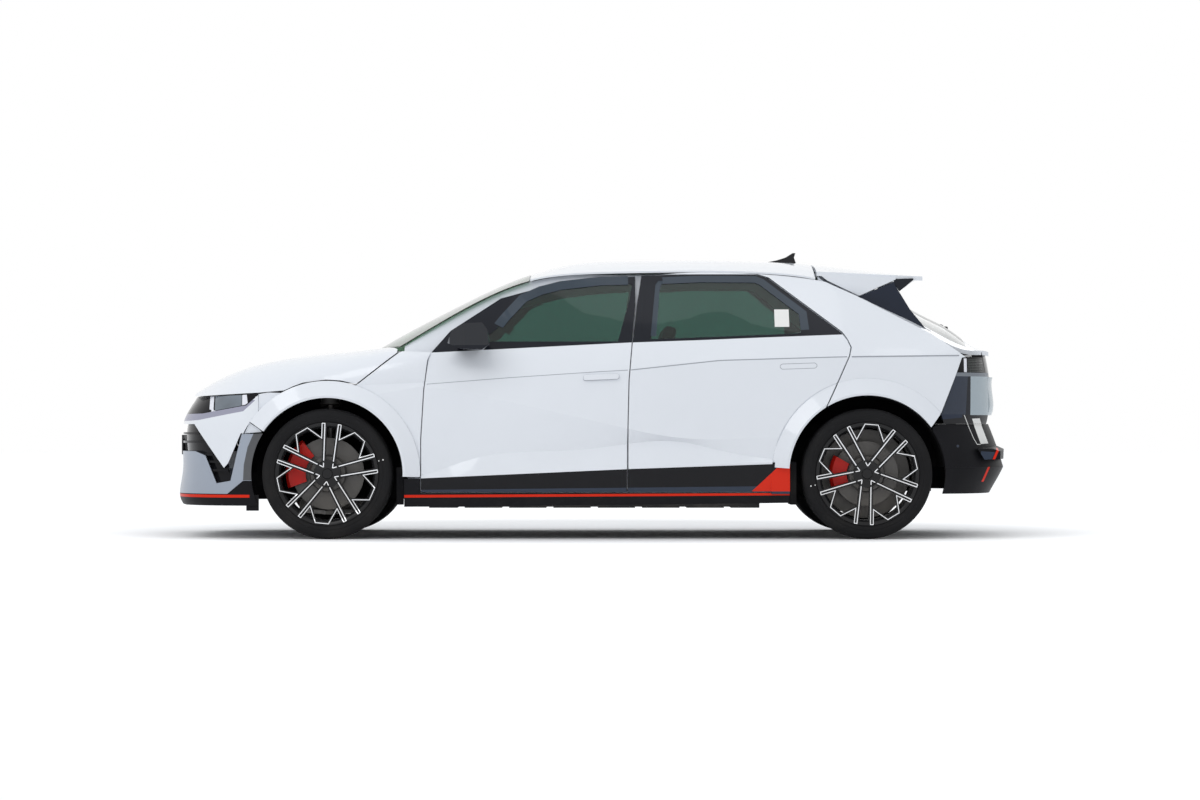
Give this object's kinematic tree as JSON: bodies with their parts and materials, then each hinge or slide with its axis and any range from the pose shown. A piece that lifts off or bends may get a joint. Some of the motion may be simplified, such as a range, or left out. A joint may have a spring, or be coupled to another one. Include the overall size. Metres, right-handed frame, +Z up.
{
  "type": "electric crossover",
  "caption": "Five-door battery-electric crossover with white panels, black cladding, opening doors, bonnet and tailgate, and steered front wheels.",
  "frame": {"origin": "on the ground at the middle of the bounding box", "axes": "+Z up, -X towards the nose, -Y the left side"},
  "size_m": [4.7117, 2.16, 1.6319],
  "materials": {
    "body_paint": "gloss",
    "frame_paint": "satin",
    "glass": "gloss",
    "gloss_black": "gloss",
    "black_plastic": "satin",
    "satin_grey": "satin",
    "corner_blue_grey": "gloss",
    "lamp_clear": "gloss",
    "lamp_dark": "gloss",
    "liner_felt": "matte",
    "cast_alloy": "cast",
    "caliper_red": "gloss",
    "soft_trim": "matte",
    "seat_fabric": "matte",
    "leather_black": "satin",
    "wheel_alloy": "gloss",
    "tyre_rubber": "matte",
    "disc_iron": "machined"
  },
  "bodies": {
    "body": {"body_frame": "frame_paint", "body_sides": "body_paint", "front_wings": "body_paint", "roof_panel": "body_paint", "windscreen": "glass", "front_bumper": "body_paint", "front_mask": "satin_grey", "front_grille": "black_plastic", "front_splitter": "black_plastic", "headlamps": "lamp_clear", "rear_bumper": "black_plastic", "rear_corners": "corner_blue_grey", "rear_diffuser": "black_plastic", "tail_lamps": "lamp_dark", "side_skirts": "black_plastic", "floor_pan": "frame_paint", "battery_pack": "cast_alloy", "wheel_liners": "liner_felt", "drive_units": "cast_alloy", "suspension": "cast_alloy", "rear_calipers": "caliper_red", "dashboard": "soft_trim", "front_seats": "seat_fabric", "rear_bench": "seat_fabric", "cowl_panel": "black_plastic", "front_structure": "frame_paint"},
    "bonnet_body": {"bonnet": "body_paint"},
    "tailgate_body": {"tailgate": "body_paint", "rear_window": "glass", "tailgate_spoiler": "body_paint", "tail_bar": "lamp_dark"},
    "front_left_door_body": {"front_left_door": "body_paint", "front_left_door_trim": "gloss_black", "front_left_door_glass": "glass"},
    "front_right_door_body": {"front_right_door": "body_paint", "front_right_door_trim": "gloss_black", "front_right_door_glass": "glass"},
    "rear_left_door_body": {"rear_left_door": "body_paint", "rear_left_door_trim": "gloss_black", "rear_left_door_glass": "glass"},
    "rear_right_door_body": {"rear_right_door": "body_paint", "rear_right_door_trim": "gloss_black", "rear_right_door_glass": "glass"},
    "left_steering_knuckle": {"left_knuckle": "cast_alloy", "front_left_caliper": "caliper_red"},
    "right_steering_knuckle": {"right_knuckle": "cast_alloy", "front_right_caliper": "caliper_red"},
    "steering_wheel_body": {"steering_wheel": "leather_black"},
    "front_left_wheel_body": {"front_left_wheel": "wheel_alloy", "front_left_tyre": "tyre_rubber", "front_left_disc": "disc_iron"},
    "front_right_wheel_body": {"front_right_wheel": "wheel_alloy", "front_right_tyre": "tyre_rubber", "front_right_disc": "disc_iron"},
    "rear_left_wheel_body": {"rear_left_wheel": "wheel_alloy", "rear_left_tyre": "tyre_rubber", "rear_left_disc": "disc_iron"},
    "rear_right_wheel_body": {"rear_right_wheel": "wheel_alloy", "rear_right_tyre": "tyre_rubber", "rear_right_disc": "disc_iron"}
  },
  "joints": [
    {"name": "front_left_door_hinge", "type": "hinge", "parent": "body", "child": "front_left_door_body", "pos_m": [-0.954, -0.936, 0.65], "axis": [0, 0, -1], "range_deg": [0, 65]},
    {"name": "front_right_door_hinge", "type": "hinge", "parent": "body", "child": "front_right_door_body", "pos_m": [-0.954, 0.936, 0.65], "axis": [0, 0, 1], "range_deg": [0, 65]},
    {"name": "rear_left_door_hinge", "type": "hinge", "parent": "body", "child": "rear_left_door_body", "pos_m": [0.197, -0.94, 0.65], "axis": [0, 0, -1], "range_deg": [0, 65]},
    {"name": "rear_right_door_hinge", "type": "hinge", "parent": "body", "child": "rear_right_door_body", "pos_m": [0.197, 0.94, 0.65], "axis": [0, 0, 1], "range_deg": [0, 65]},
    {"name": "bonnet_hinge", "type": "hinge", "parent": "body", "child": "bonnet_body", "pos_m": [-1.105, 0, 1.046], "axis": [0, 1, 0], "range_deg": [0, 50]},
    {"name": "tailgate_hinge", "type": "hinge", "parent": "body", "child": "tailgate_body", "pos_m": [1.275, 0, 1.56], "axis": [0, -1, 0], "range_deg": [0, 75]},
    {"name": "left_kingpin", "type": "hinge", "parent": "body", "child": "left_steering_knuckle", "pos_m": [-1.484, -0.757, 0.19], "axis": [0, 0.1672, 0.9859], "range_deg": [-33, 33]},
    {"name": "right_kingpin", "type": "hinge", "parent": "body", "child": "right_steering_knuckle", "pos_m": [-1.484, 0.757, 0.19], "axis": [0, -0.1672, 0.9859], "range_deg": [-34, 34]},
    {"name": "steering_column", "type": "hinge", "parent": "body", "child": "steering_wheel_body", "pos_m": [-0.455, -0.37, 0.905], "axis": [0.9063, 0, 0.4226], "range_deg": [-470, 470]},
    {"name": "front_left_wheel_spin", "type": "hinge", "parent": "left_steering_knuckle", "child": "front_left_wheel_body", "pos_m": [-1.484, -0.8175, 0.363], "axis": [0, 1, 0], "continuous": true},
    {"name": "front_right_wheel_spin", "type": "hinge", "parent": "right_steering_knuckle", "child": "front_right_wheel_body", "pos_m": [-1.484, 0.8175, 0.363], "axis": [0, 1, 0], "continuous": true},
    {"name": "rear_left_wheel_spin", "type": "hinge", "parent": "body", "child": "rear_left_wheel_body", "pos_m": [1.516, -0.8175, 0.363], "axis": [0, 1, 0], "continuous": true},
    {"name": "rear_right_wheel_spin", "type": "hinge", "parent": "body", "child": "rear_right_wheel_body", "pos_m": [1.516, 0.8175, 0.363], "axis": [0, 1, 0], "continuous": true}
  ],
  "couplings": [
    {"joint": "right_kingpin", "follows": "left_kingpin", "ratio": 1},
    {"joint": "steering_column", "follows": "left_kingpin", "ratio": -13.6}
  ]
}
